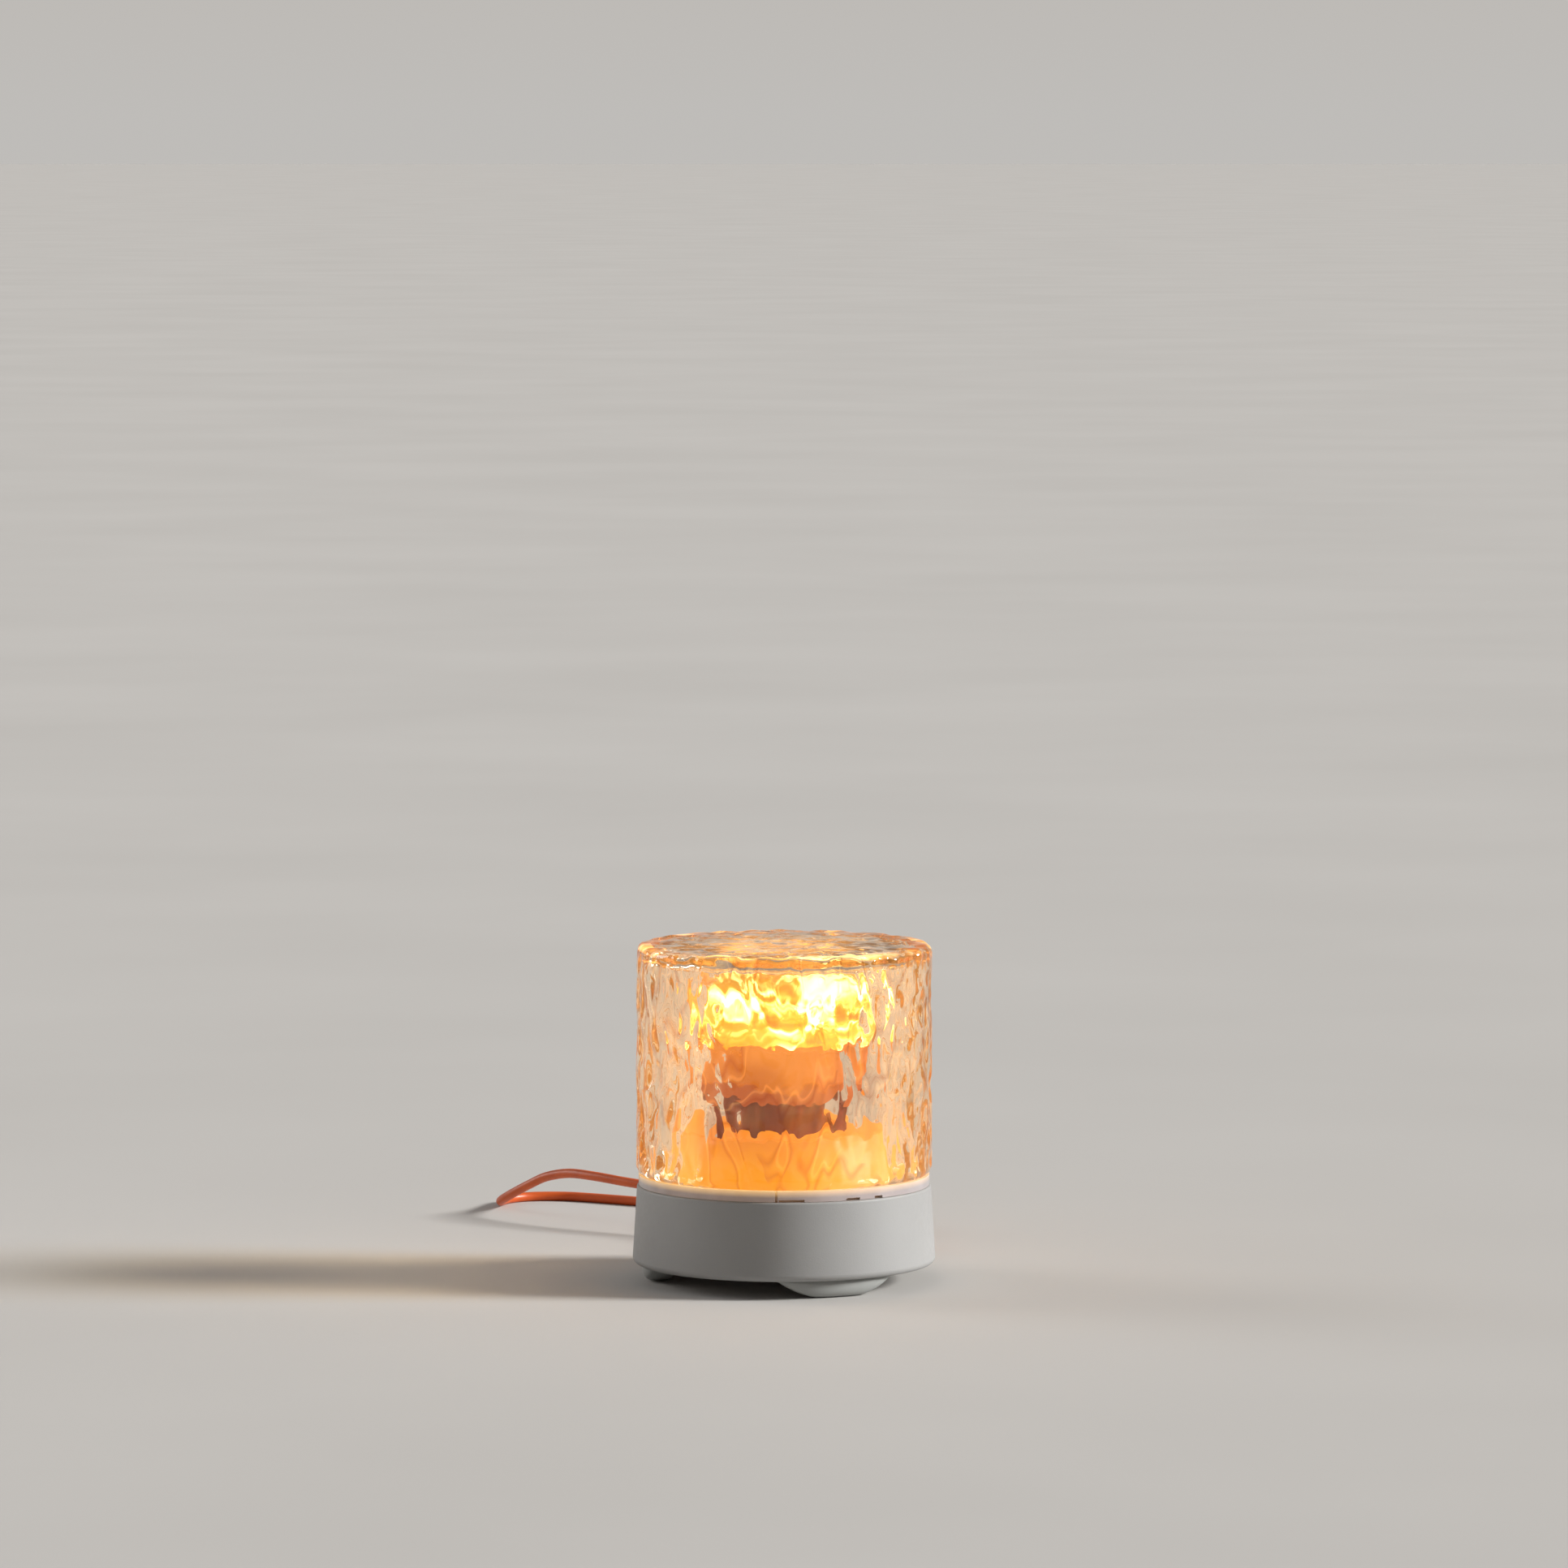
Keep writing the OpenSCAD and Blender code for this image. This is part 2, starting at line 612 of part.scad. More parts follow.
// USB-A plug: moulded grip, metal shell and the tongue inside it.
module plug_body() {
    color([0.78, 0.26, 0.07]) translate(plug_at - [0, plug_l, 0]) difference() {
        union() {
            translate([-plug_w / 2, 0, -plug_h / 2]) cube([plug_w, plug_l - 4, plug_h]);
            translate([0, plug_l - 4, 0]) rotate([-90, 0, 0]) cylinder(h = 4, r1 = 3.4, r2 = 2.2);
        }
        for (s = [-1, 1], i = [0:3]) translate([s * plug_w / 2 - 0.4, 7 + 2.4 * i, -2]) cube([0.8, 1, 4]);
    }
}

module plug_shell() {
    color(steel) translate(plug_at - [0, plug_l + shell_l, 0]) difference() {
        translate([-6, 0, -2.25]) cube([12, shell_l, 4.5]);
        translate([-5.7, -1, -1.95]) cube([11.4, shell_l - 1, 3.9]);
        for (s = [-1, 1]) translate([s * 3 - 1.2, 6, 1.5]) cube([2.4, 2.4, 2]);
    }
}

module plug_tongue() {
    color("white") translate(plug_at - [0, plug_l + shell_l, 0]) translate([-5.7, 1, -1.95]) cube([11.4, shell_l - 3, 1.9]);
}

// ---- glass ----

// Thick glass jar, mouth down, with a short narrower neck.
module glass_shade() {
    edge = 2.6;
    color([0.95, 0.97, 0.97, 0.4]) rotate_extrude() polygon(concat(
        [[glass_r_in, glass_z], [neck_r - 0.7, glass_z], [neck_r, glass_z + 0.6], [glass_r, body_z]],
        arc(glass_r - edge, lamp_h - edge, edge, 0, 90),
        [[0, lamp_h], [0, ceiling_z]],
        arc(glass_r_in - edge, ceiling_z - edge, edge, 90, 0)));
}

base_housing();
bottom_cover();
cover_screws();
foot(0);  // foot_front
foot(1);  // foot_rear
foot(2);  // foot_left
seat_collar();
reflector_deck();
deck_screws();
led_post();
post_nut();
led_heatsink();
led_board();
led_emitter();
lens_holder();
condenser_lens();
bearing_inner_race();
bearing_balls();
gear_motor();
motor_screws();
control_board();
board_parts();
board_screws();
tact_switch();
led_leads();
motor_leads();
power_leads();
strain_relief();
cord_run();
cord_coil();
cord_tail();
cord_tie();
plug_body();
plug_shell();
plug_tongue();
drive_gear();
bearing_outer_race();
rotor_sleeve();
lens_carrier();
carrier_screws();
wave_lens();
pinion_gear();
motor_shaft();
power_button();
switch_plunger();
glass_shade();
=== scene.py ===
import math

import bpy
import numpy as np
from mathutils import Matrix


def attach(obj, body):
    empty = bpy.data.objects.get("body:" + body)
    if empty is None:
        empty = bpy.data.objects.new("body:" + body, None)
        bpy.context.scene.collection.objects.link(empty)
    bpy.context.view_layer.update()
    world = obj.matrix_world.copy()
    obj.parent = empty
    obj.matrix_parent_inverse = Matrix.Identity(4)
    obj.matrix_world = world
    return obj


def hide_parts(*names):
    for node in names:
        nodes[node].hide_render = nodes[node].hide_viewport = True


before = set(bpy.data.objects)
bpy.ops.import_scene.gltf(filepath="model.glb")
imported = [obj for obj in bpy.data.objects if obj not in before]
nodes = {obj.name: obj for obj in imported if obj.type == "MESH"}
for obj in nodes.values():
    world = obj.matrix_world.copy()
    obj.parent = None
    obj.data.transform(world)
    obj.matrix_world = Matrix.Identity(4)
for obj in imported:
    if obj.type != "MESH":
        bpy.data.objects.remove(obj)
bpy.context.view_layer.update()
print("frame loaded:", len(nodes), "nodes")

mm = 0.001
up = np.array([0.0, 0.0, 1.0])


# Angles of the columns of a closed ring: a = 2 pi j / count.
def ringAngles(count):
    return 2 * math.pi * np.arange(count) / count


# Quads between neighbouring rows of a grid of points; its last column joins its first.
def gridQuads(rows, cols, first=0):
    i = np.arange(rows - 1)[:, None]
    j = np.arange(cols)[None, :]
    k = (j + 1) % cols
    quads = np.stack([i * cols + j, i * cols + k, (i + 1) * cols + k, (i + 1) * cols + j], axis=-1)
    return first + quads.reshape(-1, 4)


# Triangles from one point to a closed ring of points.
def fan(tip, ring, flipped=False):
    after = np.roll(ring, -1)
    tips = np.full_like(ring, tip)
    return np.stack([tips, after, ring] if flipped else [tips, ring, after], axis=-1)


# Puts whole arrays of points and faces into a new object at the origin.
def putMesh(name, points, faceSets, material, smooth=True):
    points = np.ascontiguousarray(points, dtype=np.float32).reshape(-1, 3)
    sizes = np.concatenate([np.full(len(f), f.shape[1]) for f in faceSets])
    starts = np.concatenate([[0], np.cumsum(sizes)[:-1]])
    corners = np.concatenate([f.ravel() for f in faceSets])
    mesh = bpy.data.meshes.new(name)
    mesh.vertices.add(len(points))
    mesh.vertices.foreach_set("co", points.ravel())
    mesh.loops.add(len(corners))
    mesh.loops.foreach_set("vertex_index", corners.astype(np.int32))
    mesh.polygons.add(len(sizes))
    mesh.polygons.foreach_set("loop_start", starts.astype(np.int32))
    mesh.update(calc_edges=True)
    mesh.validate()
    mesh.polygons.foreach_set("use_smooth", np.full(len(mesh.polygons), smooth))
    mesh.materials.append(material)
    piece = bpy.data.objects.new(name, mesh)
    bpy.context.collection.objects.link(piece)
    return piece


# A closed skin through rings of points: each ring is a row of the array rings[row, column], and the
# two end rings are closed by a fan to their middles.
def skin(name, rings, material):
    rows, cols = rings.shape[:2]
    ring = np.arange(cols)
    points = np.vstack([rings.reshape(-1, 3), rings[0].mean(axis=0), rings[-1].mean(axis=0)])
    faces = [gridQuads(rows, cols), fan(rows * cols, ring, flipped=True),
             fan(rows * cols + 1, (rows - 1) * cols + ring)]
    return putMesh(name, points, faces, material)


# Points of a surface of turn, from grids of radius and height: row i, column j stands at
# (radius cos a, radius sin a, height), with a = 2 pi j / columns.
def turnedPoints(radius, height):
    a = ringAngles(radius.shape[1])
    return np.stack([radius * np.cos(a), radius * np.sin(a), height], axis=-1)


# Smooth line through a list of points: each stretch is the cubic whose slopes at its ends are
# half the step between the neighbours on either side.
def smoothLine(route, perStretch):
    p = np.array(route, float)
    before = np.vstack([2 * p[0] - p[1], p[:-2]])
    after = np.vstack([p[2:], 2 * p[-1] - p[-2]])
    a, b = p[:-1], p[1:]
    t = (np.arange(perStretch) / perStretch)[None, :, None]
    m0, m1 = (b - before)[:, None] / 2, (after - a)[:, None] / 2
    a, b = a[:, None], b[:, None]
    curve = ((2 * t**3 - 3 * t**2 + 1) * a + (t**3 - 2 * t**2 + t) * m0
             + (3 * t**2 - 2 * t**3) * b + (t**3 - t**2) * m1)
    return np.vstack([curve.reshape(-1, 3), p[-1]])


# Round tube: a ring of points round each point of the line, square to the line's direction there.
def tube(name, line, radius, material, sides):
    line = np.asarray(line, float)
    way = np.gradient(line, axis=0)
    way /= np.linalg.norm(way, axis=1, keepdims=True)
    side = np.cross(up, way)
    side /= np.linalg.norm(side, axis=1, keepdims=True)
    over = np.cross(way, side)
    a = ringAngles(sides)[:, None]
    rings = line[:, None] + radius * (np.cos(a) * side[:, None] + np.sin(a) * over[:, None])
    return skin(name, rings, material)


# A material and short calls that add to its nodes. An underscore in an input's name is a space.
class Finish:
    def __init__(self, name):
        self.material = bpy.data.materials.new(name)
        self.material.use_nodes = True
        self.tree = self.material.node_tree
        self.shader = self.tree.nodes["Principled BSDF"]
        self.place = self.add("ShaderNodeTexCoord").outputs["Object"]

    def add(self, kind, **inputs):
        node = self.tree.nodes.new(kind)
        for key, value in inputs.items():
            self.feed(node.inputs[key.replace("_", " ")], value)
        return node

    def feed(self, socket, value):
        if isinstance(value, bpy.types.NodeSocket):
            self.tree.links.new(value, socket)
        else:
            socket.default_value = value

    def set(self, **inputs):
        for key, value in inputs.items():
            self.feed(self.shader.inputs[key.replace("_", " ")], value)

    # the object's own place, stretched
    def scaled(self, x, y, z):
        node = self.add("ShaderNodeMapping", Vector=self.place)
        node.inputs["Scale"].default_value = (x, y, z)
        return node.outputs["Vector"]

    def noise(self, scale, detail=3.0, vector=None, distortion=0.0):
        node = self.add("ShaderNodeTexNoise", Scale=scale, Detail=detail, Distortion=distortion)
        self.feed(node.inputs["Vector"], vector or self.place)
        return node.outputs["Fac"]

    def axis(self, letter):
        return self.add("ShaderNodeSeparateXYZ", Vector=self.place).outputs[letter]

    def remap(self, value, low, high, toLow, toHigh):
        node = self.add("ShaderNodeMapRange", Value=value)
        for key, number in zip(("From Min", "From Max", "To Min", "To Max"), (low, high, toLow, toHigh)):
            node.inputs[key].default_value = number
        return node.outputs["Result"]

    # colours from stops, each a place on the ramp and its colour
    def ramp(self, value, stops):
        node = self.add("ShaderNodeValToRGB", Fac=value)
        bar = node.color_ramp.elements
        while len(bar) < len(stops):
            bar.new(0.5)
        for element, (at, colour) in zip(bar, stops):
            element.position = at
            element.color = (*colour, 1)
        return node.outputs["Color"]

    def maths(self, operation, a, b=0.0):
        node = self.add("ShaderNodeMath")
        node.operation = operation
        self.feed(node.inputs[0], a)
        self.feed(node.inputs[1], b)
        return node.outputs["Value"]

    def plus(self, a, b):
        return self.maths("ADD", a, b)

    def times(self, a, b):
        return self.maths("MULTIPLY", a, b)

    # how far a value is from a level, on either side
    def gap(self, value, level):
        return self.maths("ABSOLUTE", self.maths("SUBTRACT", value, level))

    def bump(self, height, strength, distance):
        node = self.add("ShaderNodeBump", Height=height, Strength=strength, Distance=distance)
        self.set(Normal=node.outputs["Normal"])


# Moulded plastic: a fine grain, slight mottling, and roughness that wanders a little.
def mouldedPlastic(name, colour, roughness=0.45, grain=2200, grainDepth=0.000025, mottle=0.04):
    n = Finish(name)
    c = np.array(colour)
    dull, bright = tuple(c * (1 - mottle)), tuple(np.minimum(c * (1 + mottle), 1))
    n.set(Base_Color=n.ramp(n.noise(60, 4), [(0.3, dull), (0.7, bright)]))
    n.set(Roughness=n.remap(n.noise(350, 4), 0.3, 0.7, roughness - 0.05, roughness + 0.07))
    n.bump(n.noise(grain, 2), 0.35, grainDepth)
    return n.material


# Metal with fine lines round or along it, by stretching the noise.
def workedMetal(name, colour, roughness, stretch):
    n = Finish(name)
    fine = n.noise(900, 3, vector=n.scaled(*stretch))
    n.set(Base_Color=n.ramp(n.noise(90, 3), [(0.3, tuple(0.9 * v for v in colour)), (0.7, colour)]))
    n.set(Metallic=1.0, Roughness=n.remap(fine, 0.3, 0.7, roughness - 0.08, roughness + 0.12))
    n.bump(fine, 0.2, 0.00001)
    return n.material


# Gives the named CAD nodes one material in place of their own.
def finishNodes(material, *names):
    for name in names:
        slots = nodes[name].data.materials
        slots.clear()
        slots.append(material)


# Puts a new piece in: hides the nodes it replaces and attaches the piece to the body it moves with; its
# kind of material, slotName, is not used.
def standIn(piece, body, slotName, *replaced):
    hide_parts(*replaced)
    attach(piece, body)
    return piece


camera = dict(
    distance=2.7, focal=187.2, sensor=36.0, elevation=7.0, near=0.05, far=200,
    middle=0.056, below=0.2088509,  # the lamp's middle, and its drop below the frame's middle
)


# The camera stands at middle + distance (0, -cos e, sin e) and looks at the lamp's middle, then is
# raised by atan(below sensor / focal), which drops the lamp in the frame.
def makeCamera(c):
    data = bpy.data.cameras.new("camera")
    data.lens, data.sensor_width = c["focal"], c["sensor"]
    data.clip_start, data.clip_end = c["near"], c["far"]
    view = bpy.data.objects.new("camera", data)
    bpy.context.collection.objects.link(view)
    e = math.radians(c["elevation"])
    view.location = c["middle"] * up + c["distance"] * np.array([0, -math.cos(e), math.sin(e)])
    drop = math.atan(c["below"] * c["sensor"] / c["focal"])
    view.rotation_euler = (math.pi / 2 - e + drop, 0, 0)
    bpy.context.scene.camera = view


makeCamera(camera)
print("camera placed")

cord = dict(
    diameter=3.3 * mm, length=1.24, sides=12, perStretch=5,
    coilCentre=(6, 122), coilRadius=19.8, coilBottom=0.6,
    # degrees of each turn, of the move to the next, between points, and of the first point
    slots=8, slotTurn=326.25, slide=26.0, step=6, startAngle=90,
    run=[(0, 63, 16), (0, 68, 16), (-1, 74, 16), (-4, 82, 16), (-10, 91, 15.6),
         (-19, 99, 15.2), (-30, 106, 15.2), (-42, 114, 15.6), (-54, 123, 16.2), (-66, 134, 16.9),
         (-75, 144, 16.6), (-83, 152, 14.4), (-89, 158, 11), (-95, 165, 7), (-99, 172, 3.8),
         (-100, 180, 2), (-98, 188, 1.65), (-92, 194, 1.65), (-84, 196, 1.65),
         (-75, 195, 1.65), (-65, 190, 1.65), (-53, 183, 1.65), (-42, 176, 1.65),
         (-31, 167, 1.65), (-20, 157, 1.65), (-11, 149, 1.65), (-3, 145, 1.9)],
    tail=[(27.6, 116, 11.8), (28.4, 109, 10.4), (30, 102, 7.8),
          (32, 96, 5.4), (33.6, 92, 4.4), (34, 89, 4), (34, 86, 4)],
)


# The coil's centreline: its angle falls steadily from the start; radius and height step from slot to
# slot, easing over the last degrees of each turn. Slots go out, in, in, out, a layer for each two.
def coilLine(c):
    d = c["diameter"] / mm
    total = c["slots"] * c["slotTurn"]
    turn = np.linspace(0, total, int(total / c["step"]) + 1)[:-1]
    slot = np.minimum((turn // c["slotTurn"]).astype(int), c["slots"] - 1)
    left = c["slotTurn"] - (turn - slot * c["slotTurn"])
    ease = np.clip(1 - left / c["slide"], 0, 1)
    ease = ease * ease * (3 - 2 * ease) * (slot < c["slots"] - 1)
    inner = np.isin(np.arange(c["slots"] + 1) % 4, (1, 2)).astype(float)
    layer = np.arange(c["slots"] + 1) // 2
    isIn = inner[slot] * (1 - ease) + inner[slot + 1] * ease
    level = layer[slot] * (1 - ease) + layer[slot + 1] * ease
    radius = c["coilRadius"] + d / 2 - isIn * d
    height = c["coilBottom"] + d / 2 + level * d
    a = np.radians(c["startAngle"] - turn)
    x, y = c["coilCentre"]
    return np.stack([x + radius * np.cos(a), y + radius * np.sin(a), height], axis=-1)


# Orange-red lead: soft satin plastic with a fine grain, a little mottled.
def cordSkin():
    n = Finish("cord_orange")
    n.set(Base_Color=n.ramp(n.noise(120, 3), [(0.3, (0.58, 0.09, 0.012)), (0.7, (0.69, 0.118, 0.017))]))
    n.set(Roughness=n.remap(n.noise(700, 3), 0.3, 0.7, 0.36, 0.5))
    n.bump(n.noise(1500, 2), 0.25, 0.00002)
    return n.material


# The free cord: its smoothed run, the coil's turns, and the smoothed tail to the plug, never lower
# than its own radius above the table.
def makeCord(c):
    turns = coilLine(c)
    toCoil = smoothLine(c["run"] + [tuple(turns[0])], c["perStretch"])
    toPlug = smoothLine([tuple(turns[-1])] + c["tail"], c["perStretch"])
    route = np.vstack([toCoil[:-1], turns, toPlug[1:]]) * mm
    route[:, 2] = np.maximum(route[:, 2], c["diameter"] / 2)
    piece = tube("usb_cord", route, c["diameter"] / 2, cordSkin(), c["sides"])
    standIn(piece, "base", "cord_orange", "cord_run", "cord_coil", "cord_tail")
    print(f"cord {float(np.linalg.norm(np.diff(route, axis=0), axis=1).sum()):.3f} m")
    return piece, route


plug = dict(
    cordEnd=(34, 86, 4), cols=64, rows=111,
    # distance from the shell's end, half-width, half-height, and power of the cross-section's corners
    stations=[(0, 6.1, 2.9, 0.4), (0.3, 6.65, 3.45, 0.4), (0.9, 6.98, 3.78, 0.4), (13, 6.98, 3.78, 0.4),
              (16, 6.5, 3.75, 0.5), (17.4, 5.4, 3.6, 0.6), (18.2, 4.0, 3.35, 0.8), (18.7, 3.3, 3.2, 1.0),
              (21.6, 2.3, 2.3, 1.0), (22, 2.0, 2.0, 1.0)],
    groove=0.45, grooveStart=6.9, groovePitch=2.1, grooves=4,
)


# Moulded plug body: at y along it the cross-section is the superellipse (w |cos|^e, h |sin|^e), with w,
# h and e taken between the stations, and finger grooves are cosine dips in both its sides.
def makePlug(p):
    stations = np.array(p["stations"])
    y = np.linspace(0, stations[-1, 0], p["rows"])[:, None]
    wide, tall, power = (np.interp(y, stations[:, 0], stations[:, k]) for k in (1, 2, 3))
    around = ringAngles(p["cols"])[None, :]
    c, s = np.cos(around), np.sin(around)
    phase = (y - p["grooveStart"]) / p["groovePitch"]
    dip = np.where((phase > 0) & (phase < p["grooves"]), 0.5 - 0.5 * np.cos(2 * math.pi * phase), 0)
    wide = wide - p["groove"] * dip**2 * np.clip(2 * np.abs(c) - 1, 0, 1)
    x, yEnd, z = p["cordEnd"]
    rings = np.stack([x - wide * np.sign(c) * np.abs(c) ** power, yEnd - stations[-1, 0] + y + 0 * c,
                      z + tall * np.sign(s) * np.abs(s) ** power], axis=-1)
    return standIn(skin("plug_grip", rings * mm, cordSkin()), "base", "cord_orange", "plug_body")


plugGrip = makePlug(plug)
usbCord, cordRoute = makeCord(cord)

jar = dict(
    radius=49.0, top=112.0, mouth=35.8, ceiling=108.4, wallRadius=42.5, shoulder=2.6,
    cols=480, sideRows=122, shoulderRows=6, topRows=39, wallRows=10,
    # radii of the neck, from the wall outwards, and their heights over the mouth
    neckRadii=[42.5, 43.2, 45.0, 47.2, 47.7, 48.0, 48.25, 48.6, 48.9],
    neckHeights=[0.25, 0, 0, 0, 0.15, 0.5, 0.9, 1.4, 2.0],
    smoothBelow=0.9, fadeHeight=3.0,  # plain glass over the mouth, and the height the dents grow in
    pressWave=0.12,  # slow wave of the inner wall
    # each kind of dent: cell width and height, and the ranges of half-width, half-height, lean and depth
    longDents=dict(seed=11, width=9.1, height=17.0, wide=(2.4, 3.9), tall=(4.6, 8.4),
                   lean=(-0.25, 0.25), deep=(0.3, 1.15)),
    dropDents=dict(seed=5, width=5.6, height=9.5, wide=(1.3, 2.2), tall=(2.4, 4.6),
                   lean=(-0.45, 0.45), deep=(0.1, 0.75)),
    topDents=dict(seed=3, width=8.4, height=8.4, wide=(2.4, 3.8), tall=(2.6, 5.0),
                  lean=(-1.5, 1.5), deep=(0.3, 0.8)),
    cellRows=24, topColumns=24, topShift=100,  # cells before the pattern repeats, and its shift on top
)


# Depth of a field of dents at places (u, v), in millimetres. Every cell of a brick-like grid holds one
# dent, shifted, sized and leaned at random; its depth is deep exp(-q^3), with q its distance from the
# centre over its half-width and half-height. Where dents meet, (a^4 + b^4)^(1/4) leaves a ridge.
def dents(u, v, rows, columns, look):
    rng = np.random.default_rng(look["seed"])
    shiftU, shiftV = rng.uniform(-0.33, 0.33, (2, rows, columns))
    wide, tall, lean, deep = (rng.uniform(*look[key], (rows, columns))
                              for key in ("wide", "tall", "lean", "deep"))
    total = np.zeros(np.broadcast(u, v).shape)
    for stepV in (-1, 0, 1):
        row = np.floor(v / look["height"]).astype(int) + stepV
        brick = 0.5 * (row % 2)
        for stepU in (-1, 0, 1):
            column = np.floor(u / look["width"] - brick).astype(int) + stepU
            cell = (row % rows, column % columns)
            du = u - (column + 0.5 + brick + shiftU[cell]) * look["width"]
            dv = v - (row + 0.5 + shiftV[cell]) * look["height"]
            across = (du * np.cos(lean[cell]) - dv * np.sin(lean[cell])) / wide[cell]
            along = (dv * np.cos(lean[cell]) + du * np.sin(lean[cell])) / tall[cell]
            total += (deep[cell] * np.exp(-np.hypot(across, along) ** 3)) ** 4
    return total ** 0.25


# Dents of the jar's side: both kinds together, stronger and weaker by slow waves round the jar.
def sideDents(a, z, j):
    depth = 0
    for look in (j["longDents"], j["dropDents"]):
        columns = round(2 * math.pi * j["radius"] / look["width"])
        columns += columns % 2
        u = a / (2 * math.pi) * columns * look["width"]
        swell = 0.85 + 0.25 * np.sin(2 * a + 0.05 * z + look["seed"]) + 0.15 * np.sin(5 * a - 0.08 * z)
        depth = depth + swell * dents(u, z, j["cellRows"], columns, look)
    return depth


# The jar's outer face, as grids of radius and height: a neck, the wall, a quarter-round shoulder and the
# flat top, pushed in along its own normal by the dents, whose tilt goes from 0 on the wall to a right
# angle on the top.
def outerFace(j):
    a = ringAngles(j["cols"])[None, :]
    shoulder, edge = j["shoulder"], j["radius"] - j["shoulder"]
    neckZ = j["mouth"] + np.array(j["neckHeights"])
    sideZ = np.linspace(neckZ[-1] + 0.6, j["top"] - shoulder, j["sideRows"])
    bend = np.radians(np.linspace(0, 90, j["shoulderRows"] + 1))[1:]
    topR = edge * np.linspace(1, 0, j["topRows"] + 1)[1:]
    radius = np.concatenate([j["neckRadii"], np.full_like(sideZ, j["radius"]),
                             edge + shoulder * np.cos(bend), topR])[:, None]
    height = np.concatenate([neckZ, sideZ, j["top"] - shoulder + shoulder * np.sin(bend),
                             np.full_like(topR, j["top"])])[:, None]
    tilt = np.concatenate([np.zeros(len(neckZ) + len(sideZ)), bend,
                           np.full_like(topR, math.pi / 2)])[:, None]
    fadeIn = np.clip((height - j["mouth"] - j["smoothBelow"]) / j["fadeHeight"], 0, 1)
    x, y = radius * np.cos(a) + j["topShift"], radius * np.sin(a) + j["topShift"]
    push = (sideDents(a, height, j) * fadeIn * np.cos(tilt)
            + dents(x, y, j["cellRows"], j["topColumns"], j["topDents"]) * np.sin(tilt))
    outR, outZ = radius - push * np.cos(tilt), height - push * np.sin(tilt)
    outZ[-1] = outZ[-1].mean()
    return outR, outZ


# The jar's inner face, from the middle of its ceiling over a quarter round and down the wall, with a
# faint slow wave on the wall: pressWave (1 + sin(7 a + 0.09 z)).
def innerFace(j):
    a = ringAngles(j["cols"])[None, :]
    shoulder, edge = j["shoulder"], j["wallRadius"] - j["shoulder"]
    bend = np.radians(np.linspace(0, 90, j["shoulderRows"] + 1))[1:]
    flatR = np.array([0, 10, 20, 30, 37])
    roomR = np.concatenate([flatR, edge + shoulder * np.sin(bend),
                            np.full(j["wallRows"], j["wallRadius"])])[:, None]
    roomZ = np.concatenate([np.full_like(flatR, j["ceiling"], dtype=float),
                            j["ceiling"] - shoulder + shoulder * np.cos(bend),
                            np.linspace(j["ceiling"] - 6, j["mouth"] + 3, j["wallRows"])])[:, None]
    slow = j["pressWave"] * (1 + np.sin(7 * a + 0.09 * roomZ)) * np.clip((roomR - 40) / 2, 0, 1)
    return roomR + slow, roomZ + 0 * a


glass = dict(
    # The darker colour at the drops' edges is painted shade in place of dark refracted streaks.
    clear=(1.0, 0.96, 0.92), paintedDropShade=(0.76, 0.52, 0.44), dropMiddle=(1.0, 0.97, 0.93),
    dropScale=84, dropStretch=0.5, patchScale=30,
    rimLevel=0.56, rimWidth=(0.006, 0.022), rimLight=0.17,  # the painted highlight line round the drops
    outerFrom=45.2,  # radius past which a point is on the outer face
    lensReach=(16, 31), ceilingScale=90, ceilingLight=(0.05, 0.6),
    streakScale=48, streakStretch=0.35, wallLight=(0.02, 0.22),
    shoulderDrop=0.8, shoulderWidth=(0.3, 1.2), shoulderFrom=44, shoulderLight=(0.03, 1.2),
    waveScale=62, bumpStrength=0.6, bumpDepth=0.0009,
    warmTint=(0.95, 0.76, 0.42, 1), tintDensity=42.0,
    caughtColour=(1.0, 0.45, 0.12, 1), caughtLight=5.0,  # amber light given inside the glass
    glowColour=(1.0, 0.5, 0.13, 1), shadowTint=(0.93, 0.92, 0.9, 1),
)


# Drops on the outer face, where a stretched noise is high: painted shade at their edges in place of dark
# refracted streaks, a painted highlight line where the noise passes one level, and a bump with a slower
# wave. Gives back the line's painted light.
def glassDrops(n, out, g):
    outside = n.maths("GREATER_THAN", out, g["outerFrom"] * mm)
    drops = n.noise(g["dropScale"], 1, vector=n.scaled(1, 1, g["dropStretch"]), distortion=0.7)
    here = n.times(outside, n.remap(n.noise(g["patchScale"], 2), 0.42, 0.56, 0.3, 1.0))
    n.set(Base_Color=n.ramp(n.times(drops, n.maths("GREATER_THAN", here, 0.5)),
                            [(0.43, g["clear"]), (0.49, g["paintedDropShade"]), (0.53, g["dropMiddle"])]))
    wave = n.noise(g["waveScale"], 1, vector=n.scaled(1, 1, 0.45))
    n.bump(n.plus(n.remap(drops, 0.46, 0.6, 0.0, 0.55), wave), g["bumpStrength"], g["bumpDepth"])
    return n.times(n.remap(n.gap(drops, g["rimLevel"]), *g["rimWidth"], g["rimLight"], 0.0), here)


